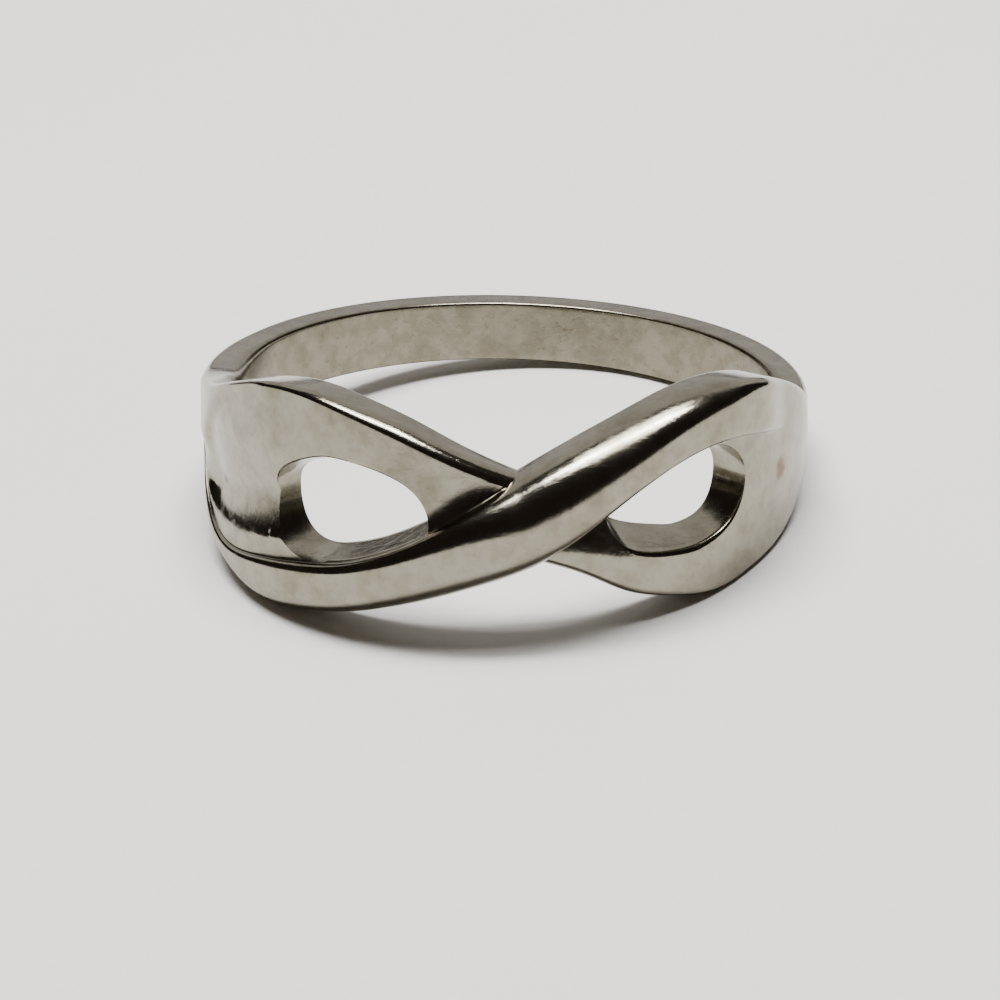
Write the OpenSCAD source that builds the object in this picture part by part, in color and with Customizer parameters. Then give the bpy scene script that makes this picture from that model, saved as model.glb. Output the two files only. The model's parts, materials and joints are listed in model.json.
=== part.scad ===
// Infinity ring: one casting, a plain tapered band that runs into a figure-8 head.
// Lengths are millimetres and angles are degrees. The ring is worked out about its own bore, with
// the head towards -Y, and is then laid down as it rests by itself: on the edges of the head's two
// lobes and on the back of the band.

/* [Band] */
// Inner diameter, where the finger goes
bore_d = 17.3; // [15:0.1:21]
// Height of the band at the back
band_back_h = 2.04; // [1.6:0.02:3]
// Height of the band where it meets the head
band_side_h = 2.24; // [1.8:0.02:3]
// Thickness of the band at the back
band_back_wall = 1.15; // [0.9:0.01:1.6]
// Thickness of the band where it meets the head
band_side_wall = 1.08; // [0.9:0.01:1.5]
// How much thicker the band is where it meets the left lobe
left_swell = 0.15; // [0:0.01:0.25]
// Rounding of the band's outer edges
band_round = 0.25; // [0.1:0.01:0.4]

/* [Head] */
// Height of the tallest lobe, from the middle of the band to its edge
lobe_reach = 4.05; // [3.6:0.05:4.6]
// Width of the strand that passes over, at the crossing
over_w = 2.75; // [2.3:0.05:3]
// Thickness of the strand that passes over, at the crossing
over_wall = 2.3; // [2:0.05:2.8]
// Thickness of the lobes' flat faces, at their thickest
under_wall = 1.47; // [1.2:0.01:1.8]
// How far the crossing sits to the right of the middle, as an angle
cross_shift = 2; // [0:0.1:3]
// How far the crossing sits below the middle of the band
cross_drop = 0.19; // [0:0.01:0.25]
// How far the crossing's line leans, as an angle at the over strand's edges
cross_lean = 1.7; // [0:0.1:2]
// How far the ends of the lobes sit to the left, as an angle
end_shift = 5; // [0:0.1:6]

/* [Holes] */
// Angle from the crossing to the pointed end of a hole
hole_start = 15.5; // [14:0.5:18]
// Angle from the crossing to the round end of a hole
hole_end = 47.4; // [42:0.2:52]
// Height of the left hole where it is widest, on the outside
hole_left_h = 3.35; // [2.8:0.05:3.6]
// Height of the right hole where it is widest, on the outside
hole_right_h = 3.18; // [2.7:0.02:3.4]
// Rounding of a hole's outer rim
rim_round = 0.2; // [0.05:0.01:0.4]
// How far the left hole's wall on the lobe's side leans in towards the bore
left_lean = 0.5; // [0:0.01:0.6]
// How far the right hole's wall on the lobe's side leans in towards the bore
right_lean = 0.38; // [0:0.01:0.6]
// How far a hole's wall on the over strand's side leans in towards the bore
foot_lean = 0.25; // [0:0.01:0.4]
// Width of the hollow where a lobe's face curls up to the over strand
scoop_w = 1.5; // [0.8:0.05:1.6]

/* [Hidden] */

bore_r = bore_d / 2;
BORE_CUT = 0.35;                 // sections reach this far inside the bore, which is drilled last
cut_r = bore_r - BORE_CUT;
base_h = over_w / 2;             // height of the head's edges at the crossing, both ways
side_h = band_side_h / 2;        // and where the band begins
reach = lobe_reach - side_h;     // how far the tallest lobe stands beyond that
HEAD = 90;                       // angle from the crossing to the end of the head
MID_END = 40;                    // angle at which cross_drop has faded out
EDGE_END = 50;                   // angle at which the edges' base is down to the band's
LEAN_END = 25;                   // angle at which cross_lean has faded out
SWELL = 66;                      // angle at which left_swell sets in, full at the end of the head
SWELL_END = 25;                  // and the angle past the head over which it fades out
WIDEST = 0.6;                    // where a hole is widest, as a share of its length
FLARE = 1.5;                     // how fast it gets there: 1 as a square root, 2 as a circle
CLOSE_H = 0.09;                  // height at which a hole's round end closes, a share of lobe_reach
LEAST_RIM = 0.8;                 // a lobe's strand is never narrower than this beside a hole
LEAST_GAP = 0.1;                 // and the hollow keeps this far from where the hole closes
SOFT = 0.4;                      // how fast a hole's rounding and lean fade at its ends
FULL = 360;                      // a full turn
BORE_SIDES = 180;                // sides of the drilled bore
SETTLES = 20;                    // most steps in which the floor is found
SAME = 1e-9;                     // and how little it then still moves
hole_floor = -CLOSE_H * lobe_reach;

// Outline of the head, a row for each 10 degrees from the crossing to the band. The over and
// under columns are how far the strands' outer edges stand out, as shares of reach. The wide
// columns are the over strand's height, shares of over_w.
OUTLINE = [
    ["over left", "over right", "under left", "under right", "wide left", "wide right"],
    [0.000, 0.000, 0.000, 0.000, 1.00, 1.00],
    [0.284, 0.294, 0.236, 0.165, 0.90, 0.90],
    [0.597, 0.556, 0.464, 0.412, 0.75, 0.75],
    [0.833, 0.758, 0.621, 0.584, 0.65, 0.65],
    [0.970, 0.844, 0.701, 0.667, 0.60, 0.63],
    [1.000, 0.805, 0.625, 0.595, 0.49, 0.64],
    [0.846, 0.645, 0.437, 0.498, 0.25, 0.57],
    [0.625, 0.440, 0.215, 0.403, 0.16, 0.38],
    [0.232, 0.190, 0.068, 0.198, 0.10, 0.18],
    [0.000, 0.000, 0.000, 0.000, 0.09, 0.09]];

// Depth of the head on the same rows. Over and under are the strands' thickness, on the way from
// band_side_wall to over_wall and to under_wall. Foot and edge are the rounding of the over
// strand on the hole's side and on its outer edge: heights are shares of the strand's own height
// and depths of its thickness. Lobe is the rounding of a lobe's outer edge, both shares of its
// thickness. Scoop is a share of scoop_w.
DEPTH = [
    ["over", "under", "foot h", "foot d", "edge h", "edge d", "lobe h", "lobe d", "scoop"],
    [1.00, 0.00, 0.47, 0.59, 0.47, 0.59, 0.38, 0.57, 0.00],
    [0.96, 0.69, 0.32, 0.30, 0.54, 0.62, 0.28, 0.44, 0.60],
    [0.84, 1.00, 0.22, 0.20, 0.54, 0.64, 0.22, 0.37, 0.30],
    [0.71, 1.00, 0.18, 0.18, 0.47, 0.58, 0.17, 0.29, 0.20],
    [0.58, 0.82, 0.17, 0.16, 0.38, 0.50, 0.14, 0.21, 0.50],
    [0.44, 0.47, 0.18, 0.13, 0.34, 0.38, 0.13, 0.19, 1.00],
    [0.30, 0.22, 0.25, 0.11, 0.40, 0.30, 0.13, 0.18, 0.90],
    [0.16, 0.10, 0.30, 0.09, 0.45, 0.25, 0.14, 0.19, 0.50],
    [0.05, 0.05, 0.10, 0.05, 0.70, 0.22, 0.18, 0.20, 0.20],
    [0.00, 0.00, 0.00, 0.00, 1.00, 0.23, 0.23, 0.23, 0.00]];

// Spans of a section: in a rounded edge, in the hollow and in a hole's rim. SIDE is what lies
// between the line of the holes and the rounded outer edge, the same number above and below.
ARC = 4;
CURL = 3;
RIM = 3;
SIDE = CURL + ARC + 2;
HALF = SIDE + ARC + 2;

function clamp(x, low, high) = min(max(x, low), high);
function blend(a, b, t) = a + (b - a) * t;
function ease(t) = let (x = clamp(t, 0, 1)) x * x * (3 - 2 * x);
function tidy(x) = round(x * 1e5) / 1e5;

// A table's column at an angle, on a smooth curve through its rows
function along(table, name, angle) =
    let (col = search([name], table[0])[0], last = len(table) - 2, x = clamp(angle / HEAD, 0, 1) * last)
    let (i = min(floor(x), last - 1) + 1, f = x - i + 1, b = table[i][col], c = table[i + 1][col])
    let (a = i > 1 ? table[i - 1][col] : 2 * b - c, d = i < last ? table[i + 2][col] : 2 * c - b)
    b + 0.5 * f * (c - a + f * (2 * a - 5 * b + 4 * c - d + f * (3 * (b - c) + d - a)));

// A section of the band as [height, radius] pairs, from its top edge in the bore, over the
// outside, to its bottom edge in the bore, and then the middle of the bore twice
function band_section(h, r) =
    let (half = [
        [h, cut_r],
        for (t = [0 : ARC]) [h - band_round * (1 - cos(90 * t / ARC)), r - band_round * (1 - sin(90 * t / ARC))],
        for (t = [1 : SIDE]) [(h - band_round) * (1 - t / SIDE), r]])
    [each half, each mirrored(half), [0, cut_r], [0, cut_r]];

function mirrored(points) = [for (i = [len(points) - 1 : -1 : 0]) [-points[i].x, points[i].y]];

// What over_w fades to at the band, so that the over strand ends in the band's rounded edge
full_w = band_round / OUTLINE[len(OUTLINE) - 1][4];

// A section of the head's left half in the same order: the lobe, the hole and the over strand.
// At an angle with no hole its two sides meet in one line.
function head_section(a, left) =
    let (side = left ? "left" : "right", mid = (left ? -1 : 1) * cross_drop * (1 - ease(a / MID_END)))
    let (edge = blend(base_h, side_h, ease(a / EDGE_END)))
    let (under = edge + mid + reach * along(OUTLINE, str("under ", side), a))
    let (over = mid - edge - reach * along(OUTLINE, str("over ", side), a))
    let (wide = blend(over_w, full_w, a / HEAD) * along(OUTLINE, str("wide ", side), a), step = over + wide)
    let (side_wall = band_side_wall + (left ? left_swell * ease((a - SWELL) / (HEAD - SWELL)) : 0))
    let (under_t = blend(side_wall, under_wall, along(DEPTH, "under", a)))
    let (over_t = max(blend(side_wall, over_wall, along(DEPTH, "over", a)), under_t))
    let (foot_h = wide * along(DEPTH, "foot h", a), foot_d = over_t * along(DEPTH, "foot d", a))
    let (edge_h = wide * along(DEPTH, "edge h", a), edge_d = over_t * along(DEPTH, "edge d", a))
    let (lobe_h = under_t * along(DEPTH, "lobe h", a), lobe_d = under_t * along(DEPTH, "lobe d", a))
    let (r_under = bore_r + under_t, r_over = bore_r + over_t, r_knee = r_over - foot_d)
    // the lobe's face beside the over strand: close to the crossing it is still the rounded edge
    let (room = under - step, level = room < lobe_h ? sqrt(max(0, 1 - pow(1 - room / lobe_h, 2))) : 1)
    let (r_face = a == 0 ? r_knee : r_under - lobe_d * (1 - level))
    let (knee = foot_d > 0 ? asin(clamp((r_face - r_knee) / foot_d, 0, 1)) : 0)
    let (foot = step - foot_h * (1 - cos(knee)), r_foot = max(r_face, r_knee))
    // the hole's edges outside, and where its walls reach the bore
    let (s = (a - hole_start) / (hole_end - hole_start), open = s > 0 && s < 1)
    let (bulge = open ? pow(4 * s * (1 - s), SOFT) : 0)
    let (close = s >= 1 ? 0 : s > WIDEST ? sqrt(1 - pow((s - WIDEST) / (1 - WIDEST), 2)) : 1)
    let (floor_h = blend(hole_floor, 0, clamp((a - hole_end) / (HEAD - hole_end), 0, 1)))
    let (lean = foot_lean * bulge, out = lean * (r_foot - r_face) / (r_foot - bore_r))
    let (low = blend(floor_h, foot + out, close), low_bore = blend(floor_h, foot + lean, close))
    let (rise = sqrt(1 - pow(1 - clamp(s / WIDEST, 0, 1), FLARE)))
    let (tall = left ? hole_left_h : hole_right_h, rim_lean = left ? left_lean : right_lean)
    let (top = open ? min(foot + tall * rise, under - LEAST_RIM) : foot)
    let (high = blend(floor_h, top, close), rim = rim_round * bulge)
    let (past = (r_face - cut_r) / (r_face - bore_r))
    // the hollow, a quarter ellipse from the lobe's face up to the over strand's knee
    let (curl_room = a > hole_start ? max(0, hole_floor - LEAST_GAP - foot) : 0)
    let (curl = out + clamp(scoop_w * along(DEPTH, "scoop", a), 0, curl_room))
    let (from = curl > 1e-6 ? asin(clamp((foot + curl - low) / curl, 0, 1)) : 0)
    let (flat_top = under - min(lobe_h, room))
    [
        [under, cut_r],
        for (i = [0 : ARC])
            let (w = max(under - lobe_h * (1 - cos(90 * i / ARC)), min(step, under)))
            [w, a == 0 ? r_knee : r_under - lobe_d * (1 - sqrt(max(0, 1 - pow(1 - (under - w) / lobe_h, 2))))],
        for (i = [1 : SIDE - RIM]) [blend(flat_top, high + rim, i / (SIDE - RIM)), r_face],
        for (i = [1 : RIM]) [high + rim * (1 - sin(90 * i / RIM)), r_face - rim * (1 - cos(90 * i / RIM))],
        [low, blend(r_face, r_foot, 1 - cos(from))],
        for (i = [0 : CURL])
            let (t = blend(from, 90, i / CURL))
            [foot + curl * (1 - sin(t)), blend(r_face, r_foot, 1 - cos(t))],
        for (i = [1 : ARC])
            let (t = blend(knee, 90, i / ARC))
            [step - foot_h * (1 - cos(t)), r_knee + foot_d * sin(t)],
        for (i = [0 : ARC])
            [over + edge_h * (1 - sin(90 * i / ARC)), r_over - edge_d * (1 - cos(90 * i / ARC))],
        [over, cut_r],
        [blend(high, high - 2 * rim_lean * (1 - clamp(s, 0, 1)) * bulge, past), cut_r],
        [blend(low, low_bore, past), cut_r]
    ];

// The same for the right half, which is the left one turned over
function right_section(a) =
    let (s = head_section(a, false), n = 2 * HALF)
    [each mirrored([for (i = [0 : n - 1]) s[i]]), [-s[n + 1].x, cut_r], [-s[n].x, cut_r]];

// Angles of the head's sections from the crossing to the band, closer together at a hole's ends
TIP = 5;
HOLE = 14;
END = 14;
ANGLES = [
    for (i = [0 : TIP - 1]) hole_start * i / TIP,
    for (i = [0 : HOLE - 1]) blend(hole_start, hole_end, (1 - cos(180 * i / HOLE)) / 2),
    for (i = [0 : END]) blend(hole_end, HEAD, i / END)];
LAST = len(ANGLES) - 1;

// The place round the ring of an angle from the crossing, from the middle to the right
function turn(a) = a + cross_shift - (cross_shift + end_shift) * pow(a / HEAD, 2);

// How much of the crossing's lean a section has
function skew(a) = cross_lean * (1 - ease(a / LEAN_END));

// Every section round the ring from the left end of the head: [place, open, points, lean]
BACK = 30;
SECTIONS = [
    for (i = [LAST : -1 : 0])
        [turn(-ANGLES[i]), i > TIP && i <= TIP + HOLE,
            i == LAST ? band_section(side_h, bore_r + band_side_wall + left_swell) : head_section(ANGLES[i], true),
            skew(ANGLES[i])],
    for (i = [0 : LAST])
        [turn(ANGLES[i]), i >= TIP && i < TIP + HOLE,
            i == LAST ? band_section(side_h, bore_r + band_side_wall) : right_section(ANGLES[i]),
            skew(ANGLES[i])],
    for (i = [1 : BACK])
        let (far = ease(1 - abs(2 * i / BACK - 1)), place = blend(turn(HEAD), turn(-HEAD) + FULL, i / BACK))
        let (swell = left_swell * (1 - ease((turn(-HEAD) + FULL - place) / SWELL_END)))
        [place, false, band_section(blend(band_side_h, band_back_h, far) / 2,
            bore_r + blend(band_side_wall, band_back_wall, far) + swell), 0]];

// The spot of a section's point, [height, radius]
function spot(s, p) =
    let (a = s[0] + s[3] * (1 - (p.x + cross_drop) / base_h))
    [p.y * sin(a), -p.y * cos(a), p.x];

COLS = 2 * HALF + 2;
POINTS = [for (s = SECTIONS, p = s[2]) [for (v = spot(s, p)) tidy(v)]];

// Columns that are joined between two sections: the outside above and below the holes, the bore,
// and the holes' walls where they are open
SPANS = [
    for (k = [0 : 2 * HALF - 2]) if (k != HALF - 1) [k, k + 1],
    [2 * HALF - 1, 2 * HALF + 1],
    [2 * HALF, 0]];
WALLS = [[HALF - 1, 2 * HALF], [2 * HALF + 1, HALF]];
FACES = [
    for (i = [0 : len(SECTIONS) - 2]) if (i != LAST)
        let (a = i * COLS, b = a + COLS)
        for (k = SECTIONS[i][1] ? concat(SPANS, WALLS) : SPANS)
            for (f = [[a + k[0], b + k[0], b + k[1]], [a + k[0], b + k[1], a + k[1]]])
                if (POINTS[f[0]] != POINTS[f[1]] && POINTS[f[1]] != POINTS[f[2]] && POINTS[f[0]] != POINTS[f[2]])
                    f];

// The floor it lies on: a plane under the left lobe, the right lobe and the back of the band,
// found again from the lowest corners it leaves until it no longer moves
CORNERS = [
    for (s = SECTIONS) let (p = s[2][2 * HALF - 2])
        for (r = [bore_r, p.y]) spot(s, [p.x, r])];
FEET = [
    [for (c = CORNERS) if (c.y < 0 && c.x < 0) c],
    [for (c = CORNERS) if (c.y < 0 && c.x >= 0) c],
    [for (c = CORNERS) if (c.y >= 0) c]];
function lowest(points, up) =
    let (heights = [for (p = points) p * up], least = min(heights))
    points[search(least, heights)[0]];
function settle(up, left) =
    let (feet = [for (f = FEET) lowest(f, up)], n = cross(feet[1] - feet[0], feet[2] - feet[0]), next = n / norm(n))
    left == 0 || norm(next - up) < SAME ? [next, feet[0] * next] : settle(next, left - 1);
FLOOR = settle([0, 0, 1], SETTLES);

// The least turn that stands that plane's normal upright, and the middle of the turned part
UP = FLOOR[0];
lean_share = 1 / (1 + UP.z);
TURN = [
    [1 - lean_share * UP.x * UP.x, -lean_share * UP.x * UP.y, -UP.x],
    [-lean_share * UP.x * UP.y, 1 - lean_share * UP.y * UP.y, -UP.y],
    UP];
function middle(points, row) =
    let (places = [for (p = points) TURN[row] * p])
    (min(places) + max(places)) / 2;
PLACE = [-middle(POINTS, 0), -middle(POINTS, 1), -FLOOR[1]];

module ring() {
    color([0.68, 0.67, 0.64])
        translate(PLACE)
            multmatrix(TURN)
                difference() {
                    polyhedron(points = POINTS, faces = FACES, convexity = 6);
                    cylinder(h = 4 * lobe_reach, r = bore_r, center = true, $fn = BORE_SIDES);
                }
}

ring();
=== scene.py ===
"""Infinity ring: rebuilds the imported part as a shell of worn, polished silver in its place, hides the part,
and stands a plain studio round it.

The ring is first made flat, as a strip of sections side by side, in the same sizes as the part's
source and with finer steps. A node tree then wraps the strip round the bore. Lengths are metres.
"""

import json
import math

import bmesh
import bpy
import numpy as np
from bpy.props import FloatProperty, FloatVectorProperty, PointerProperty
from mathutils import Matrix, Vector


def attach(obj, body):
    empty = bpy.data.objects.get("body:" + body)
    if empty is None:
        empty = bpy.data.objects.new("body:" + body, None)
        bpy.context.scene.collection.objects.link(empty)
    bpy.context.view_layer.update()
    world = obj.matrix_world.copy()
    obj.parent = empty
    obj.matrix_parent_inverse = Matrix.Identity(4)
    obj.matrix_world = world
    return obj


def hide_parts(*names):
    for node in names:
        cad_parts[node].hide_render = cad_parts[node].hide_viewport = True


bl_info = {
    "name": "Infinity Ring",
    "version": (1, 0, 0),
    "blender": (4, 5, 0),
    "location": "3D View > Sidebar > Infinity Ring",
    "description": "Builds a silver infinity ring round its packed part, with a plain studio",
    "category": "Object",
}

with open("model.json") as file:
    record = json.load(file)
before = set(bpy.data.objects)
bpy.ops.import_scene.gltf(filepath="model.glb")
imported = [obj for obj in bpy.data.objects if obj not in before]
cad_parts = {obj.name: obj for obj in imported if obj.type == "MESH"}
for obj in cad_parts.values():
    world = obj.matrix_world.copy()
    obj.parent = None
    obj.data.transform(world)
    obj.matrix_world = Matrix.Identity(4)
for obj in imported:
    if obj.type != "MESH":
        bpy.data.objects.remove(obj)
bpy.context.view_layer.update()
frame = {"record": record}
bore = next(m for m in frame["record"]["mounts"] if m["name"] == "finger_bore")

MM = 0.001
MERGE = 0.001 * MM  # corners closer than this are one corner
BORE_SHADE_REACH = 0.3 * MM  # how far out from the bore its painted shade and painted mottled reflection reach

# Outline of the head, a row for each 10 degrees from the crossing to the band. The over and
# under columns are how far the strands' outer edges stand out, as shares of the reach. The wide
# columns are the over strand's height, shares of its width.
OUTLINE = [
    ("over left", "over right", "under left", "under right", "wide left", "wide right"),
    (0.000, 0.000, 0.000, 0.000, 1.00, 1.00),
    (0.284, 0.294, 0.236, 0.165, 0.90, 0.90),
    (0.597, 0.556, 0.464, 0.412, 0.75, 0.75),
    (0.833, 0.758, 0.621, 0.584, 0.65, 0.65),
    (0.970, 0.844, 0.701, 0.667, 0.60, 0.63),
    (1.000, 0.805, 0.625, 0.595, 0.49, 0.64),
    (0.846, 0.645, 0.437, 0.498, 0.25, 0.57),
    (0.625, 0.440, 0.215, 0.403, 0.16, 0.38),
    (0.232, 0.190, 0.068, 0.198, 0.10, 0.18),
    (0.000, 0.000, 0.000, 0.000, 0.09, 0.09)]

# Depth of the head on the same rows. Over and under are the strands' thickness, on the way from
# the band's to their own. Foot and edge are the rounding of the over strand on the hole's side
# and on its outer edge: heights are shares of the strand's height and depths of its thickness.
# Lobe is the rounding of a lobe's outer edge, both shares of its thickness. Scoop is a share of
# the hollow's full width.
DEPTH = [
    ("over", "under", "foot h", "foot d", "edge h", "edge d", "lobe h", "lobe d", "scoop"),
    (1.00, 0.00, 0.47, 0.59, 0.47, 0.59, 0.38, 0.57, 0.00),
    (0.96, 0.69, 0.32, 0.30, 0.54, 0.62, 0.28, 0.44, 0.60),
    (0.84, 1.00, 0.22, 0.20, 0.54, 0.64, 0.22, 0.37, 0.30),
    (0.71, 1.00, 0.18, 0.18, 0.47, 0.58, 0.17, 0.29, 0.20),
    (0.58, 0.82, 0.17, 0.16, 0.38, 0.50, 0.14, 0.21, 0.50),
    (0.44, 0.47, 0.18, 0.13, 0.34, 0.38, 0.13, 0.19, 1.00),
    (0.30, 0.22, 0.25, 0.11, 0.40, 0.30, 0.13, 0.18, 0.90),
    (0.16, 0.10, 0.30, 0.09, 0.45, 0.25, 0.14, 0.19, 0.50),
    (0.05, 0.05, 0.10, 0.05, 0.70, 0.22, 0.18, 0.20, 0.20),
    (0.00, 0.00, 0.00, 0.00, 1.00, 0.23, 0.23, 0.23, 0.00)]

# Where the forms come and go: each eases from nothing at its first angle from the crossing, in
# degrees, to all at its second
SPANS = {
    "middle levels": (0, 40),
    "edges slim": (0, 50),
    "bore edges slim": (75, 150),
    "bore edges swell": (64, 88),
    "dish starts": (34, 46),
    "dish eases": (52, 68),
    "dish ends": (69, 78),
    "dive ends": (19, 28),
    "right hollow starts": (30, 45),
    "right ridge sharpens": (38, 52),
    "right lower edge sinks": (50, 64),
    "left swell deepens": (80, 90),
    "left swell ends": (92, 117),
    "right step ends": (91, 141)}

# The line where each lobe's tip meets the band: its furthest angle in degrees, the height in
# millimetres where it is furthest, how many degrees it falls back in a millimetre from there,
# and how wide its soft step is in degrees
TIPS = {"left": (72.4, -0.9, 1.6, 3.5), "right": (81, -0.2, 3.3, 10)}

HEAD, FULL = 90, 360  # degrees from the crossing to the end of the head, and all round
WIDEST = 0.6  # where a hole is widest, as a share of its length
FLARE = 1.5  # how fast it gets there: 1 as a square root, 2 as a circle
HOLE_FLOOR = 0.09  # how far below the band's middle the holes' round ends are, as a share of the reach
BULGE = 0.4  # how fast a hole's rims and leans reach their full size: 1 as a parabola, 0 at once
KEEN = 0.5  # how much of the right ridge's rounding is left where it is sharpest

# The dish in the left lobe: how much of its depth it loses on the way to the tip, how soft its
# upper slope is, and on the way down to the over strand how far it goes on and how straight
DISH_LOSS, DISH_SOFT, DISH_FOOT, DISH_STRAIGHT = 0.2, 1.5, 0.65, 0.6
DIVE_SLOPE = 0.3  # how steeply the right strand dives

SHARP = 38  # edges that turn by more degrees than this stay sharp

# Spans of a section: a rounded edge, the hollow, a hole's outer rim, the inner edges, a hole's
# wall, the bore, and the flat face of the over strand and of a lobe
ARC, CURL, RIM, FILLET, WALL, BORE, FACE = 10, 20, 5, 6, 8, 8, 14
LOBE_FACE = CURL + ARC + FACE - RIM

# Steps round the ring: from the crossing to a hole, along it, from it to the band, and the band
TIP_STEPS, HOLE_STEPS, END_STEPS, BAND_STEPS = 22, 56, 44, 110


def length(name, description, default):
    """A size in metres, given in millimetres."""
    return FloatProperty(name=name, description=description, default=default * MM,
                         subtype="DISTANCE", unit="LENGTH", precision=5)


def angle(name, description, default):
    """An angle, given in degrees."""
    return FloatProperty(name=name, description=description, default=math.radians(default),
                         subtype="ANGLE", unit="ROTATION")


def share(name, description, default):
    """A number from nothing to all."""
    return FloatProperty(name=name, description=description, default=default, min=0, max=1,
                         subtype="FACTOR")


def colour(name, description, default):
    """A colour of a surface or of the air."""
    return FloatVectorProperty(name=name, description=description, default=default, min=0, max=1,
                               subtype="COLOR")


def power(name, description, default):
    """A lamp's power in watts."""
    return FloatProperty(name=name, description=description, default=default, unit="POWER")


class RingSizes(bpy.types.PropertyGroup):
    """The ring's sizes."""

    bore_r: length("Bore radius", "Half the inner diameter, where the finger goes", bore["dims"]["r_mm"])
    band_back_h: length("Band height, back", "Height of the band at the back", 2.04)
    band_side_h: length("Band height, side", "Height of the band where it meets the head", 2.24)
    band_back_wall: length("Band thickness, back", "Thickness of the band at the back", 1.15)
    band_side_wall: length("Band thickness, side", "Thickness of the band where it meets the head", 1.08)
    band_round: length("Band edges", "Rounding of the band's outer edges", 0.25)
    lobe_reach: length("Lobe reach", "Height of the tallest lobe, from the band's middle to its edge", 4.05)
    over_w: length("Over strand width", "Width of the strand that passes over, at the crossing", 2.75)
    over_wall: length("Over strand thickness", "Thickness of that strand, at the crossing", 2.3)
    under_wall: length("Lobe thickness", "Thickness of the lobes' flat faces, at their thickest", 1.47)
    cross_shift: angle("Crossing shift", "How far the crossing sits to the right of the middle", 2)
    end_shift: angle("End shift", "How far the ends of the lobes sit to the left", 5)
    cross_drop: length("Crossing drop", "How far the crossing sits below the band's middle", 0.19)
    cross_lean: angle("Crossing lean", "How far the crossing's line leans at the over strand's edges", 1.7)
    lean_end: angle("Lean's reach", "Angle at which the crossing's lean has faded out", 25)
    hole_start: angle("Hole start", "Angle from the crossing to the pointed end of a hole", 15.5)
    hole_end: angle("Hole end", "Angle from the crossing to the round end of a hole", 47.4)
    hole_left_h: length("Left hole's height", "Height of the left hole where it is widest", 3.35)
    hole_right_h: length("Right hole's height", "Height of the right hole where it is widest", 3.18)
    rim_round: length("Hole rim", "Rounding of a hole's outer rim", 0.2)
    left_lean: length("Left hole's lean", "How far the left hole's wall on the lobe's side leans in", 0.5)
    right_lean: length("Right hole's lean", "How far the right hole's wall on the lobe's side leans in", 0.38)
    foot_lean: length("Hole lean, strand", "How far a hole's wall on the over strand's side leans in", 0.25)
    scoop_w: length("Hollow width", "Width of the hollow where a face curls up to the over strand", 1.5)
    dish: length("Dish", "How far the left lobe's face sinks beside the over strand", 0.5)
    dish_top: length("Dish top", "Height at which the dish starts", 1)
    dish_mid: length("Dish middle", "Height of the dish's deepest line, drawn on to the crossing", 1.85)
    dish_fall: length("Dish fall", "How much lower that line gets with each degree", 0.05)
    dish_room: length("Dish room", "Least room between that line and the over strand's foot", 0.4)
    dive_top: length("Dive top", "How far below its edge the right strand starts to dive", 0.4)
    dive_fall: length("Dive fall", "How much further below that is with each degree", 0.035)
    dive_soft: length("Dive softness", "How softly the dive starts", 0.3)
    least_rim: length("Least rim", "Least width of a lobe's strand beside a hole", 0.8)
    inner_back: length("Bore edges, back", "Rounding of the bore's edges at the back of the band", 0.1)
    inner_head: length("Bore edges, head", "Rounding of the bore's edges behind the head", 0.26)
    inner_end: length("Bore edges, ends", "What that rounding gains where the band meets the head", 0.3)
    hole_inner: length("Hole edges, inside", "Rounding of a hole's edge in the bore", 0.1)
    left_swell: length("Left swell", "How far the band stands out beyond the left lobe's tip", 0.15)
    swell_low: length("Swell's lower end", "How far below the middle the swell starts", 1.2)
    swell_high: length("Swell's upper end", "How far below the middle the swell is full", 0.2)
    tip_step: length("Right step", "How far the band lies below the right lobe's tip", 0.12)


class SilverFinish(bpy.types.PropertyGroup):
    """The silver's colours and wear."""

    clean: colour("Silver", "Colour of the clean, polished metal", (0.295, 0.275, 0.22))
    # this colour is also painted into the bore and the holes, as painted shade and painted reflection
    dull: colour("Dull silver", "Colour of the metal where a film has formed", (0.17, 0.15, 0.108))
    # the specks' brown; in the bore and the holes the specks are twice as strong, and that share is painted
    # shade
    tarnish: colour("Tarnish", "Colour of the brown film in hollows and spots", (0.16, 0.115, 0.075))
    stain: colour("Stain", "Colour of the reddish spot on the right lobe", (0.15, 0.075, 0.042))
    gloss: share("Roughness", "Roughness of the polished faces", 0.13)
    worn: share("Worn roughness", "Roughness where the film is thickest", 0.198)
    film: share("Film", "How dull the large patches of film are", 0.45)
    mottling: share("Mottling", "How dull the small patches of film are", 0.34)
    # painted shade and painted mottled reflection of the floor in the bore and the holes: how far their
    # colour goes to the dull silver
    inside: share("Inside", "How dull the bore and the holes are", 0.4)
    # how much the painted reflection in the bore and the holes is mottled
    bore_reflection_mottling: share("Mottling inside", "How much duller their small patches are", 0.3)
    # the specks' extra darkness in the bore and the holes is painted shade
    specks: share("Specks", "How dark the specks are, and how much darker inside", 0.3)
    stained: share("Stained", "How strong the reddish spot is", 0.9)
    stain_out: length("Stain's radius", "How far the spot lies from the bore's axis", 9.83)
    stain_turn: angle("Stain's angle", "How far round to the right the spot lies", 60.5)
    relief: share("Relief", "How deep the fine scratches and pits look", 0.22)


class StudioSettings(bpy.types.PropertyGroup):
    """The floor, the lamps and the air."""

    floor: colour("Floor", "Colour of the floor", (0.80, 0.79, 0.765))
    air: colour("Air", "Colour of the dark room round the lamps", (0.030, 0.024, 0.022))
    overhead: power("Overhead lamp", "Power of the soft lamp above", 1.15)
    strip: power("Strip lamp", "Power of the thin bright lamp above", 1.1)
    back: power("Back screen", "Power of the dim screen behind", 1.5)
    view_high: angle("View height", "How high the camera looks from, over the ring's plane", 18.7)
    view_far: length("View distance", "How far the camera is from the bore's middle", 130)
    view_roll: angle("View roll", "How far the camera is rolled", 1.34)


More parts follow.
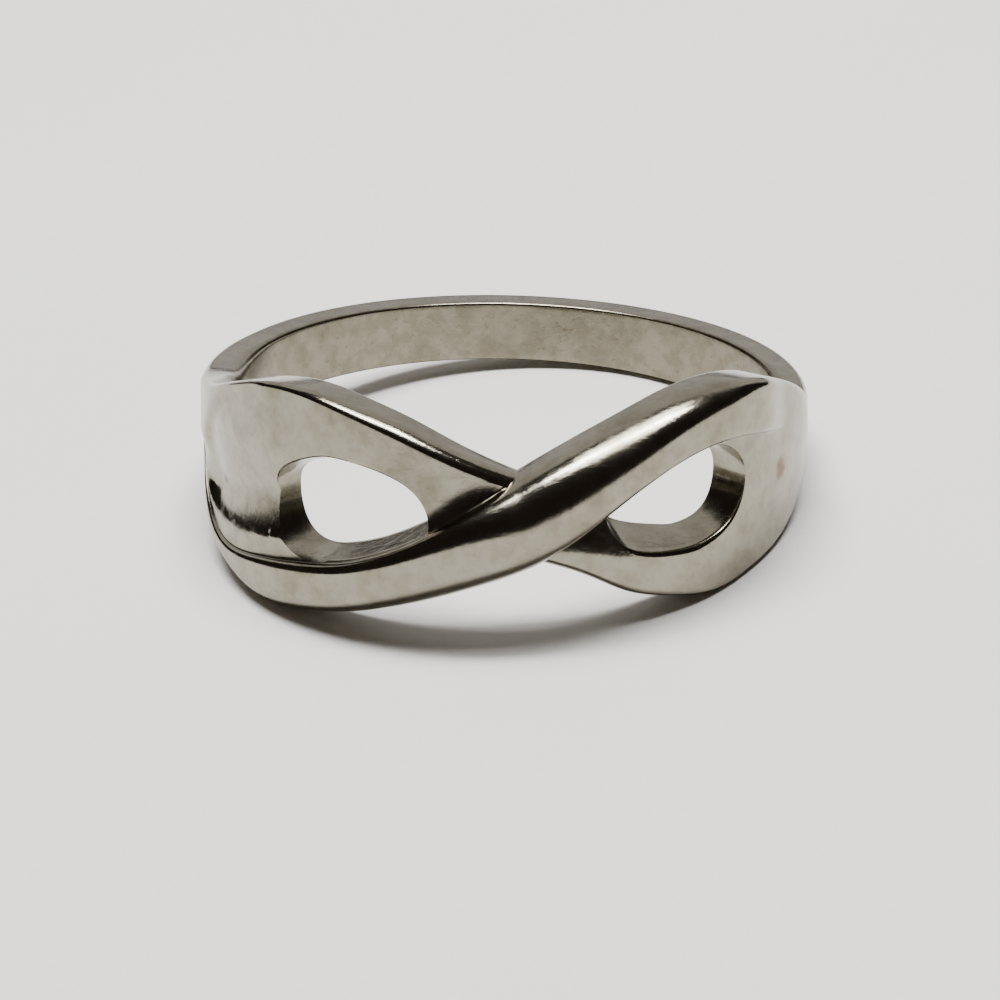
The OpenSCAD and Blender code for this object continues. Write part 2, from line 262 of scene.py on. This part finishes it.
class Wire:
    """A node's output that can be reckoned with: maths on it adds Math nodes to its tree."""

    def __init__(self, tree, socket):
        self.tree = tree
        self.socket = socket

    def math(self, operation, *values):
        return self.tree.add("ShaderNodeMath", {"operation": operation}, dict(enumerate(values)))

    def __add__(self, other):
        return self.math("ADD", self, other)

    def __sub__(self, other):
        return self.math("SUBTRACT", self, other)

    def __rsub__(self, other):
        return self.math("SUBTRACT", other, self)

    def __mul__(self, other):
        return self.math("MULTIPLY", self, other)

    def __truediv__(self, other):
        return self.math("DIVIDE", self, other)

    def __pow__(self, other):
        return self.math("POWER", self, other)

    def __neg__(self):
        return self.math("MULTIPLY", self, -1)

    __radd__ = __add__
    __rmul__ = __mul__

    def least(self, other):
        return self.math("MINIMUM", self, other)

    def sine(self):
        return self.math("SINE", self)

    def cosine(self):
        return self.math("COSINE", self)

    def size(self):
        return self.math("ABSOLUTE", self)

    def ease(self, start, end):
        """Nothing at start and one at end, with a soft way between."""
        return self.tree.add("ShaderNodeMapRange", {"interpolation_type": "SMOOTHSTEP"},
                             {"Value": self, "From Min": start, "From Max": end})


class Tree:
    """A node tree under construction."""

    def __init__(self, tree):
        self.tree = tree
        tree.nodes.clear()

    def add(self, kind, settings=None, inputs=None, out=0):
        """Adds a node and gives back one of its outputs, or the node itself if it has none."""
        node = self.tree.nodes.new(kind)
        for name, value in (settings or {}).items():
            setattr(node, name, value)
        for name, value in (inputs or {}).items():
            if isinstance(value, Wire):
                self.tree.links.new(value.socket, node.inputs[name])
            else:
                node.inputs[name].default_value = value
        return Wire(self, node.outputs[out]) if node.outputs else node

    def mix(self, factor, first, second):
        """A colour between two colours."""
        inputs = {0: factor, 6: opaque(first), 7: opaque(second)}
        return self.add("ShaderNodeMix", {"data_type": "RGBA"}, inputs, out=2)

    def surface(self, colour, roughness, **more):
        """Ends a material's tree with a surface of a colour and a roughness."""
        inputs = {"Base Color": colour, "Roughness": roughness, **more}
        shader = self.add("ShaderNodeBsdfPrincipled", None, inputs)
        self.add("ShaderNodeOutputMaterial", None, {"Surface": shader})


def opaque(value):
    """A colour with its fourth number, as sockets want it; a wire stays as it is."""
    return value if isinstance(value, Wire) else (*value, 1)


def clamp(x, low, high):
    return min(max(x, low), high)


def blend(a, b, t):
    return a + (b - a) * t


def ease(t):
    t = clamp(t, 0, 1)
    return t * t * (3 - 2 * t)


def along(span, a):
    """How far an angle is on its way through a named span, from nothing to one."""
    start, end = SPANS[span]
    return ease((a - start) / (end - start))


def curves(table, level_end):
    """A smooth curve, as a function of the angle in degrees, for each column of a table. It ends
    level where it has to run on into the band without a corner."""
    names, rows = table[0], np.array(table[1:])
    last = len(rows) - 1
    # the bends of a natural spline at the rows, which are evenly spaced
    bands = 4 * np.eye(last + 1) + np.eye(last + 1, k=1) + np.eye(last + 1, k=-1)
    bands[0] = np.eye(last + 1)[0]
    bands[last] = np.eye(last + 1)[last]
    wanted = np.zeros_like(rows)
    wanted[1:last] = 6 * (rows[2:] - 2 * rows[1:last] + rows[:last - 1])
    if level_end:
        bands[last, last - 1:] = 1, 2
        wanted[last] = 6 * (rows[last - 1] - rows[last])
    bends = np.linalg.solve(bands, wanted)

    def curve(col):
        def at(angle):
            x = clamp(angle / HEAD, 0, 1) * last
            i = min(int(x), last - 1)
            f = x - i
            g = 1 - f
            return float(g * rows[i, col] + f * rows[i + 1, col]
                         + ((g ** 3 - g) * bends[i, col] + (f ** 3 - f) * bends[i + 1, col]) / 6)
        return at

    return {name: curve(col) for col, name in enumerate(names)}


outline = curves(OUTLINE, True)
depth = curves(DEPTH, False)


def quarter(spans):
    """Angles of a quarter turn in even steps."""
    return [math.pi / 2 * i / spans for i in range(spans + 1)]


def run(start, end, spans):
    """Points in even steps from after start up to end."""
    (h, d), (end_h, end_d) = start, end
    return [(blend(h, end_h, i / spans), blend(d, end_d, i / spans)) for i in range(1, spans + 1)]


def inner_round(z, a):
    """Rounding of the bore's edges at an angle from the crossing."""
    _, peak = SPANS["bore edges swell"]
    swell = along("bore edges swell", peak - abs(a - peak))
    return blend(z.inner_head, z.inner_back, along("bore edges slim", a)) + z.inner_end * swell


def inner_edge(h, f):
    """The bore's upper edge at a height, from the bore to the top."""
    return [(h - f * (1 - math.sin(t)), f * (1 - math.cos(t))) for t in quarter(FILLET)]


def mirrored(points):
    """Points upside down, in the same turn round the section as before."""
    return [(-h, d) for h, d in reversed(points)]


def turned(h, d, tall, deep, angles):
    """A rounded edge that leaves a spot level, with how far it goes in height and in depth."""
    return [(h + tall * math.sin(t), d + deep * (1 - math.cos(t))) for t in angles]


def step_out(z, a, h, left):
    """How far the band stands out beyond a lobe's tip: nothing inside the lobe's own outline."""
    far, level, fall, soft = TIPS["left" if left else "right"]
    past = ease((a - far + fall * (h / MM - level) ** 2) / soft)
    if not left:
        return -z.tip_step * past * (1 - along("right step ends", a))
    upper = ease((h + z.swell_low) / (z.swell_low - z.swell_high))
    full = blend(upper, 1, along("left swell deepens", a))
    return z.left_swell * full * past * (1 - along("left swell ends", a))


def stepped(z, a, left, points):
    """Points of an outer face, moved out or in beyond the lobe's tip and not at all at the bore."""
    return [(h, d + step_out(z, a, h, left) * d / z.band_side_wall) for h, d in points]


def dished(z, a, h, foot):
    """How far the left lobe's face sinks to a dish beside the over strand."""
    loss = DISH_LOSS * along("dish eases", a)
    here = z.dish * along("dish starts", a) * (1 - loss) * (1 - along("dish ends", a))
    deep = max(z.dish_mid - z.dish_fall * a, foot + z.dish_room)
    if h > deep:
        return here * clamp((z.dish_top - h) / (z.dish_top - deep), 0, 1) ** DISH_SOFT
    t = clamp((deep - h) / (DISH_FOOT * (deep - foot)), 0, 1)
    return here * (1 - blend(1 - math.sqrt(1 - t * t), t, DISH_STRAIGHT))


def dived(z, a, h, under):
    """How far the right lobe's face sinks where its strand dives under the over strand."""
    dive = max(0, under - z.dive_top - z.dive_fall * a - h)
    return DIVE_SLOPE * dive * dive / (dive + z.dive_soft) * (1 - along("dive ends", a))


def band_section(z, a, left, h, d):
    """A section of the band as strips of (height, depth above the bore) points."""
    r = z.band_round
    edge = [(h - r * (1 - math.cos(t)), d - r * (1 - math.sin(t))) for t in quarter(ARC)]
    half = inner_edge(h, inner_round(z, a)) + edge + run(edge[-1], (0, d), LOBE_FACE + RIM)
    half = stepped(z, a, left, half)
    wall = [(0, half[-1][1])] + run((0, half[-1][1]), (0, 0), WALL + FILLET)
    top = [(0, 0)] + run((0, 0), half[0], BORE)
    return {"lobe": half, "strand": mirrored(half), "lobe wall": wall, "strand wall": wall,
            "lobe bore": top, "strand bore": [(-h, d) for h, d in top]}


def head_section(z, a, left):
    """A section of half the head, with the lobe on top and the over strand below: the right half
    upside down.

    The strips are the lobe from the bore's upper edge to the hole, the over strand from the hole
    to the bore's lower edge, the hole's two walls, and the bore above and below the hole.
    """
    side = "left" if left else "right"
    start, end = math.degrees(z.hole_start), math.degrees(z.hole_end)
    reach = z.lobe_reach - z.band_side_h / 2
    mid = (-1 if left else 1) * z.cross_drop * (1 - along("middle levels", a))
    edge = blend(z.over_w / 2, z.band_side_h / 2, along("edges slim", a))
    under = edge + mid + reach * outline["under " + side](a)
    over = mid - edge - reach * outline["over " + side](a)
    wide = blend(z.over_w, z.band_round / OUTLINE[-1][4], a / HEAD) * outline["wide " + side](a)
    step = over + wide
    d_under = blend(z.band_side_wall, z.under_wall, depth["under"](a))
    d_over = max(blend(z.band_side_wall, z.over_wall, depth["over"](a)), d_under)
    # on the right the over strand sinks into the lobe's face past the hole, and its ridge is keener
    flush = 0 if left else along("right lower edge sinks", a)
    keen = 1 if left else blend(1, KEEN, along("right ridge sharpens", a))
    d_over = blend(d_over, d_under, flush)
    foot_h, foot_d = wide * depth["foot h"](a), d_over * max(depth["foot d"](a), 0) * (1 - flush)
    edge_h, edge_d = keen * wide * depth["edge h"](a), keen * d_over * depth["edge d"](a)
    lobe_h, lobe_d = d_under * depth["lobe h"](a), d_under * depth["lobe d"](a)
    d_knee = d_over - foot_d
    # the lobe's face beside the over strand: close to the crossing it is still the rounded edge
    room = max(under - step, 0)
    level = math.sqrt(max(0, 1 - (1 - room / lobe_h) ** 2)) if room < lobe_h else 1
    d_face = d_knee if a == 0 else d_under - lobe_d * (1 - level)
    knee = math.asin(clamp((d_face - d_knee) / foot_d, 0, 1)) if foot_d > 0 else 0
    foot, d_foot = step - foot_h * (1 - math.cos(knee)), max(d_face, d_knee)
    # the hole's edges outside, and where its walls reach the bore
    s = (a - start) / (end - start)
    is_open = 0 < s < 1
    bulge = (4 * s * (1 - s)) ** BULGE if is_open else 0
    close = math.sqrt(1 - max(0, (min(s, 1) - WIDEST) / (1 - WIDEST)) ** 2)
    floor_h = blend(-HOLE_FLOOR * z.lobe_reach, 0, clamp((a - end) / (HEAD - end), 0, 1))
    lean = z.foot_lean * bulge
    out = lean * (d_foot - d_face) / d_foot
    low, low_bore = blend(floor_h, foot + out, close), blend(floor_h, foot + lean, close)
    rise = math.sqrt(1 - (1 - clamp(s / WIDEST, 0, 1)) ** FLARE)
    tall, rim_lean = (z.hole_left_h, z.left_lean) if left else (z.hole_right_h, z.right_lean)
    top = min(foot + tall * rise, under - z.least_rim) if is_open else foot
    high = blend(floor_h, top, close)
    high_bore = high - 2 * rim_lean * (1 - clamp(s, 0, 1)) * bulge
    rim, inner, f = z.rim_round * bulge, z.hole_inner * bulge, inner_round(z, a)
    # the hollow, a quarter ellipse from the lobe's face up to the over strand's knee
    scoop = z.scoop_w * max(depth["scoop"](a), 0)
    curl = out + (scoop if left else scoop * along("right hollow starts", a))

    def face(h):
        """Depth of the face at a height, from the lobe's rounded edge to the over strand's foot."""
        x = clamp((foot + curl - h) / curl, 0, 1) if curl > MERGE else 0
        sunk = dished(z, a, h, foot) if left else dived(z, a, h, under)
        return blend(d_face, d_foot, 1 - math.sqrt(1 - x * x)) - sunk

    def across(start, end, spans):
        """Points of the face from a height down to another, closer together at the end."""
        heights = [blend(start, end, math.sin(t)) for t in quarter(spans)]
        return [(h, face(h)) for h in heights]

    lobe = inner_edge(under, f)
    for t in quarter(ARC):
        h = max(under - lobe_h * (1 - math.cos(t)), min(step, under))
        drop = 1 - math.sqrt(max(0, 1 - (1 - (under - h) / lobe_h) ** 2))
        lobe.append((h, d_knee if a == 0 else d_under - lobe_d * drop))
    lobe += across(under - min(lobe_h, room), high + rim, LOBE_FACE)[1:]
    lobe += turned(high + rim, lobe[-1][1], -rim, -rim, quarter(RIM)[1:])

    strand = across(low, foot, CURL)
    turns = [blend(knee, math.pi / 2, i / ARC) for i in range(1, ARC + 1)]
    strand += [(step - foot_h * (1 - math.cos(t)), d_knee + foot_d * math.sin(t)) for t in turns]
    strand += run(strand[-1], (over + edge_h, d_over), FACE)[:-1]
    strand += turned(over + edge_h, d_over, -edge_h, -edge_d, quarter(ARC))
    strand += mirrored(inner_edge(-over, f))

    lobe, strand = stepped(z, a, left, lobe), stepped(z, a, left, strand)
    if not is_open:
        high_bore = low_bore = clamp(low_bore, over + f, under - f)
    inward = quarter(FILLET)[1:]
    lobe_wall = [lobe[-1]] + run(lobe[-1], (high_bore, inner), WALL)
    lobe_wall += [(high_bore + inner * (1 - math.cos(t)), inner * (1 - math.sin(t))) for t in inward]
    strand_wall = [strand[0]] + run(strand[0], (low_bore, inner), WALL)
    strand_wall += [(low_bore - inner * (1 - math.cos(t)), inner * (1 - math.sin(t))) for t in inward]
    return {"lobe": lobe, "strand": strand, "lobe wall": lobe_wall, "strand wall": strand_wall,
            "lobe bore": lobe_wall[-1:] + run(lobe_wall[-1], lobe[0], BORE),
            "strand bore": strand_wall[-1:] + run(strand_wall[-1], strand[-1], BORE)}


def upside_down(strips):
    """A section's strips with every height turned over, in the same order."""
    return {name: [(-h, d) for h, d in strip] for name, strip in strips.items()}


def sections(z):
    """Every section round the ring, as (angle in degrees, whether a hole follows, strips)."""
    start, end = math.degrees(z.hole_start), math.degrees(z.hole_end)
    angles = [start * i / TIP_STEPS for i in range(TIP_STEPS)]
    angles += [blend(start, end, (1 - math.cos(math.pi * i / HOLE_STEPS)) / 2) for i in range(HOLE_STEPS)]
    angles += [blend(end, HEAD, i / END_STEPS) for i in range(END_STEPS)]
    side_h, side_d = z.band_side_h / 2, z.band_side_wall
    first, last = TIP_STEPS, TIP_STEPS + HOLE_STEPS
    left = [(-a, first < i <= last, head_section(z, a, True)) for i, a in enumerate(angles)]
    left.append((-HEAD, False, band_section(z, HEAD, True, side_h, side_d)))
    right = []
    for i, a in enumerate(angles):
        right.append((a, first <= i < last, upside_down(head_section(z, a, False))))
    right.append((HEAD, False, upside_down(band_section(z, HEAD, False, side_h, side_d))))
    band = []
    for i in range(BAND_STEPS + 1):
        far = ease(1 - abs(2 * i / BAND_STEPS - 1))
        a = blend(HEAD, FULL - HEAD, i / BAND_STEPS)
        h, d = blend(side_h, z.band_back_h / 2, far), blend(side_d, z.band_back_wall, far)
        band.append((a, False, band_section(z, min(a, FULL - a), a > FULL / 2, h, d)))
    return [left[::-1], right, band]


def flat_mesh(z):
    """The ring unrolled: angle round the bore along X, height along Y and depth along Z."""
    corners, faces = [], []
    for part in sections(z):
        before = None
        for a, is_open, strips in part:
            here = {}
            for name, strip in strips.items():
                here[name] = len(corners)
                corners.extend((math.radians(a), h, d) for h, d in strip)
            if before:
                starts, was_open = before
                for name, base in here.items():
                    if was_open or not name.endswith("wall"):
                        last = starts[name]
                        faces.extend((last + j, last + j + 1, base + j + 1, base + j)
                                     for j in range(len(strips[name]) - 1))
            before = here, is_open
    mesh = bpy.data.meshes.new("flat_ring")
    mesh.from_pydata(corners, [], faces)
    return mesh


WRAP_INPUTS = [
    ("Bore radius", "bore_r"), ("Crossing shift", "cross_shift"), ("End shift", "end_shift"),
    ("Crossing drop", "cross_drop"), ("Crossing lean", "cross_lean"), ("Lean's reach", "lean_end"),
    ("Over strand width", "over_w")]


def wrap_tree(material):
    """A node tree that wraps a flat ring round its bore and gives it its material."""
    group = bpy.data.node_groups.new("wrap_round_bore", "GeometryNodeTree")
    face = group.interface
    face.new_socket("Geometry", in_out="INPUT", socket_type="NodeSocketGeometry")
    for name, _ in WRAP_INPUTS:
        face.new_socket(name, in_out="INPUT", socket_type="NodeSocketFloat")
    face.new_socket("Geometry", in_out="OUTPUT", socket_type="NodeSocketGeometry")
    t = Tree(group)
    entry = t.add("NodeGroupInput").socket.node
    size = {name: Wire(t, entry.outputs[name]) for name, _ in WRAP_INPUTS}
    spot = t.add("GeometryNodeInputPosition")
    parts = t.add("ShaderNodeSeparateXYZ", None, {0: spot}).socket.node
    a, h, d = (Wire(t, parts.outputs[i]) for i in range(3))
    share_of_head = (a / math.radians(HEAD)) ** 2
    turn = a + size["Crossing shift"] - (size["Crossing shift"] + size["End shift"]) * share_of_head.least(1)
    lean = size["Crossing lean"] * (1 - (h + size["Crossing drop"]) / (size["Over strand width"] / 2))
    turn = turn + lean * (1 - a.size().ease(0, size["Lean's reach"]))
    r = size["Bore radius"] + d
    place = t.add("ShaderNodeCombineXYZ", None, {0: r * turn.sine(), 1: -r * turn.cosine(), 2: h})
    flat = Wire(t, entry.outputs["Geometry"])
    # the bore and the last of each wall beside it are marked for the material's painted shade and painted
    # reflection
    bore_shade_marked = t.add("GeometryNodeStoreNamedAttribute", {"data_type": "FLOAT", "domain": "POINT"},
                   {0: flat, "Name": "inside", "Value": 1 - d.ease(0, BORE_SHADE_REACH)})
    wrapped = t.add("GeometryNodeSetPosition", None, {0: bore_shade_marked, "Position": place})
    merged = t.add("GeometryNodeMergeByDistance", None, {0: wrapped, "Distance": MERGE})
    real = t.add("GeometryNodeRealizeInstances", None, {0: merged})
    dressed = t.add("GeometryNodeSetMaterial", None, {0: real, "Material": material})
    t.add("NodeGroupOutput", None, {0: dressed})
    return group


def wrapped_ring(z, material):
    """The ring about its own bore, as a plain mesh."""
    flat = bpy.data.objects.new("flat_ring", flat_mesh(z))
    bpy.context.scene.collection.objects.link(flat)
    wrap = flat.modifiers.new("wrap", "NODES")
    wrap.node_group = wrap_tree(material)
    sockets = wrap.node_group.interface.items_tree
    names = {socket.name: socket.identifier for socket in sockets if socket.in_out == "INPUT"}
    for name, size in WRAP_INPUTS:
        wrap[names[name]] = getattr(z, size)
    view = bpy.context.evaluated_depsgraph_get()
    mesh = bpy.data.meshes.new_from_object(flat.evaluated_get(view))
    flat.modifiers.remove(wrap)
    bpy.data.objects.remove(flat)
    return mesh


def closed_and_outward(mesh):
    """Joins the strips' seams, checks that the shell is closed and turns its faces outwards."""
    work = bmesh.new()
    work.from_mesh(mesh)
    bmesh.ops.remove_doubles(work, verts=work.verts, dist=MERGE)
    bmesh.ops.dissolve_degenerate(work, dist=MERGE, edges=work.edges)
    loose = [v for v in work.verts if not v.link_faces]
    bmesh.ops.delete(work, geom=loose, context="VERTS")
    bmesh.ops.recalc_face_normals(work, faces=work.faces)
    torn = [e for e in work.edges if len(e.link_faces) != 2]
    work.to_mesh(mesh)
    work.free()
    print("ring corners", len(mesh.vertices), "faces", len(mesh.polygons), "open edges", len(torn))
    return len(torn)


# Patterns of wear: how many patches to a millimetre, how fine, how much closer along X, Y and Z,
# how rough, and the values between which the pattern comes in
PATTERNS = {
    "film": (0.55, 6, (1, 1, 1), 0.62, 0.42, 0.68),
    "mottle": (1.8, 6, (1, 1, 1), 0.62, 0.40, 0.64),
    "specks": (5.0, 3, (1, 1, 1), 0.5, 0.62, 0.72),
    "scratches": (2.2, 4, (0.5, 6, 3), 0.7, 0.5, 0.8),
    "cuts": (1.8, 4, (7, 0.6, 4), 0.7, 0.52, 0.8)}

# The stain's edge: where it starts and ends from its middle, how ragged it is, and in what
# pattern, with the same columns as the first four above
STAIN_IN, STAIN_OUT, STAIN_RAGGED = 0.15 * MM, 0.5 * MM, 0.5 * MM
STAIN_EDGE = (2.5, 5, (1, 1, 1), 0.7)

PIT = 0.02 * MM  # depth of the deepest scratches and pits


def silver_material(finish, spot):
    """Worn, polished silver: mottled film, fine scratches, brown specks and one reddish stain, with painted
    shade and a painted mottled reflection in the bore and the holes.
    """
    material = bpy.data.materials.new("worn_silver")
    material.use_nodes = True
    t = Tree(material.node_tree)
    place = t.add("ShaderNodeTexCoord", None, None, "Object")

    def noise(scale, detail, stretch, rough):
        """A pattern of patches, with so many to a millimetre."""
        where = t.add("ShaderNodeMapping", None, {0: place, "Scale": [s / MM for s in stretch]})
        return t.add("ShaderNodeTexNoise", None,
                     {"Vector": where, "Scale": scale, "Detail": detail, "Roughness": rough})

    def pattern(name):
        *kind, start, end = PATTERNS[name]
        return noise(*kind).ease(start, end)

    # where the painted shade and painted mottled reflection of the bore and the holes go
    inside = t.add("ShaderNodeAttribute", {"attribute_name": "inside"}, None, "Fac")
    film, mottle, specks, scratches, cuts = (pattern(name) for name in PATTERNS)
    apart = t.add("ShaderNodeVectorMath", {"operation": "DISTANCE"}, {0: place, 1: spot}, "Value")
    ragged = apart + (noise(*STAIN_EDGE) - 0.5) * STAIN_RAGGED
    stain = 1 - ragged.ease(STAIN_IN, STAIN_OUT)

    base = t.mix(film * finish.film + mottle * finish.mottling, finish.clean, finish.dull)
    # painted shade and painted mottled reflection of the floor: the bore and the holes turn duller and darker
    base = t.mix(inside * (mottle * finish.bore_reflection_mottling + finish.inside), base, finish.dull)
    # brown specks all over; in the bore and the holes they are twice as dark, as painted shade
    base = t.mix(specks * (inside + 1) * finish.specks, base, finish.tarnish)
    base = t.mix(stain * finish.stained, base, finish.stain)
    # each kind of wear adds a little to the roughness, and has its share of the fine relief
    rough = film * (finish.worn - finish.gloss) + finish.gloss
    rough = rough + scratches * 0.05 + inside * 0.10 + stain * 0.15
    relief = mottle * 0.25 + scratches * 0.35 + cuts * 0.35 + specks * 0.2
    bump = t.add("ShaderNodeBump", None,
                 {"Strength": finish.relief, "Distance": PIT, "Height": relief})
    t.surface(base, rough, Metallic=1.0, Normal=bump)
    return material


def laid_down():
    """The move from the ring's own frame, with the bore upright, to where it rests."""
    lean = Vector((0, 0, 1)).rotation_difference(Vector(bore["axis"]))
    return Matrix.Translation(bore["pos_m"]) @ lean.to_matrix().to_4x4()


class RING_OT_add_ring(bpy.types.Operator):
    """Builds the ring as one closed silver shell in the place of its CAD solid"""

    bl_idname = "infinity_ring.add_ring"
    bl_label = "Add Ring"

    def execute(self, context):
        z = context.scene.ring_sizes
        rest = laid_down()
        finish = context.scene.silver_finish
        turn, out = finish.stain_turn, finish.stain_out
        spot = rest @ Vector((out * math.sin(turn), -out * math.cos(turn), 0))
        mesh = wrapped_ring(z, silver_material(finish, spot))
        if closed_and_outward(mesh):
            raise RuntimeError("the ring's shell is not closed")
        mesh.transform(rest)
        mesh.shade_smooth()
        mesh.set_sharp_from_angle(angle=math.radians(SHARP))
        mesh.name = "ring_silver"
        ring = bpy.data.objects.new("ring_silver", mesh)
        context.scene.collection.objects.link(ring)
        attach(ring, "root")
        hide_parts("ring")
        return {"FINISHED"}


# The lamps: the setting that holds their power, where they hang, their width and height, and
# their tint
LAMPS = {
    "overhead_lamp": ("overhead", (0, 0.03, 0.30), 0.18, 0.17, (1, 0.99, 0.97)),
    "strip_lamp": ("strip", (0, 0.02, 0.28), 0.24, 0.045, (1, 1, 1)),
    "back_screen": ("back", (0, 0.55, 0.32), 1.0, 0.60, (1, 0.98, 0.95))}

FLOOR = 2  # half the floor's width
UNEVEN = 0.94  # tone of the floor's darkest patches, as a share of its own

# The photograph in pixels: its width, the lens' focal length, and where the bore's middle falls
PICTURE, FOCAL, BORE_X, BORE_Y = 1000, 4023, 508.05, 412.3


def floor_material(tint):
    """Matt, pale board with a faint unevenness."""
    material = bpy.data.materials.new("pale_floor")
    material.use_nodes = True
    t = Tree(material.node_tree)
    place = t.add("ShaderNodeTexCoord", None, None, "Object")
    patches = t.add("ShaderNodeTexNoise", None, {"Vector": place, "Scale": 60.0, "Detail": 3.0})
    t.surface(t.mix(patches, tint, [UNEVEN * c for c in tint]), 0.9)
    return material


def add_lamp(name, place, width, height, tint, watts):
    """A soft lamp: a lit rectangle that faces the ring."""
    lamp = bpy.data.lights.new(name, "AREA")
    lamp.shape = "RECTANGLE"
    lamp.size, lamp.size_y = width, height
    lamp.energy = watts
    lamp.color = tint
    holder = bpy.data.objects.new(name, lamp)
    holder.location = place
    holder.rotation_euler = (-Vector(place)).to_track_quat("-Z", "Y").to_euler()
    bpy.context.scene.collection.objects.link(holder)


class RING_OT_add_studio(bpy.types.Operator):
    """Stands the floor, the soft lamps and the camera round the ring"""

    bl_idname = "infinity_ring.add_studio"
    bl_label = "Add Studio"

    def execute(self, context):
        look = context.scene.studio_settings
        scene = context.scene
        mesh = bpy.data.meshes.new("floor")
        corners = [(x * FLOOR, y * FLOOR, 0) for x, y in ((-1, -1), (1, -1), (1, 1), (-1, 1))]
        mesh.from_pydata(corners, [], [(0, 1, 2, 3)])
        mesh.materials.append(floor_material(tuple(look.floor)))
        floor = bpy.data.objects.new("floor", mesh)
        scene.collection.objects.link(floor)
        for name, (setting, *kind) in LAMPS.items():
            add_lamp(name, *kind, getattr(look, setting))
        world = bpy.data.worlds.new("studio_air")
        world.use_nodes = True
        t = Tree(world.node_tree)
        air = t.add("ShaderNodeBackground", None, {"Color": opaque(look.air), "Strength": 1.0})
        t.add("ShaderNodeOutputWorld", None, {"Surface": air})
        scene.world = world
        self.add_camera(scene, look)
        return {"FINISHED"}

    def add_camera(self, scene, look):
        """The camera at the photograph's angle to the ring's plane, with its roll, and with the
        bore's middle on the same spot of the picture."""
        high, roll = look.view_high, look.view_roll
        back = Vector((0, -math.cos(high), math.sin(high)))
        level = Vector((1, 0, 0))
        upright = back.cross(level)
        right = level * math.cos(roll) + upright * math.sin(roll)
        up = upright * math.cos(roll) - level * math.sin(roll)
        axes = Matrix((right, up, back)).transposed().to_4x4()
        pan = Matrix.Rotation(math.atan((BORE_X - PICTURE / 2) / FOCAL), 4, "Y")
        tilt = Matrix.Rotation(math.atan((BORE_Y - PICTURE / 2) / FOCAL), 4, "X")
        lens = bpy.data.cameras.new("camera")
        lens.lens = FOCAL / PICTURE * lens.sensor_width
        lens.clip_start = 10 * MM
        camera = bpy.data.objects.new("camera", lens)
        camera.matrix_world = laid_down() @ Matrix.Translation(back * look.view_far) @ axes @ pan @ tilt
        scene.collection.objects.link(camera)
        scene.camera = camera


class RING_PT_panel(bpy.types.Panel):
    """Lists the ring's pieces, sizes and finishes"""

    bl_idname = "RING_PT_panel"
    bl_label = "Infinity Ring"
    bl_space_type = "VIEW_3D"
    bl_region_type = "UI"
    bl_category = "Infinity Ring"

    def draw(self, context):
        layout = self.layout
        for operator in (RING_OT_add_ring, RING_OT_add_studio):
            layout.operator(operator.bl_idname)
        scene = context.scene
        for title, group in (("Sizes", scene.ring_sizes), ("Silver", scene.silver_finish),
                             ("Studio", scene.studio_settings)):
            box = layout.box()
            box.label(text=title)
            for name in group.__annotations__:
                box.prop(group, name)


CLASSES = (RingSizes, SilverFinish, StudioSettings, RING_OT_add_ring, RING_OT_add_studio, RING_PT_panel)


def register():
    for cls in CLASSES:
        bpy.utils.register_class(cls)
    bpy.types.Scene.ring_sizes = PointerProperty(type=RingSizes)
    bpy.types.Scene.silver_finish = PointerProperty(type=SilverFinish)
    bpy.types.Scene.studio_settings = PointerProperty(type=StudioSettings)


def unregister():
    del bpy.types.Scene.studio_settings
    del bpy.types.Scene.silver_finish
    del bpy.types.Scene.ring_sizes
    for cls in reversed(CLASSES):
        bpy.utils.unregister_class(cls)


def main():
    register()
    bpy.ops.infinity_ring.add_ring()
    bpy.ops.infinity_ring.add_studio()


if __name__ == "__main__":
    main()
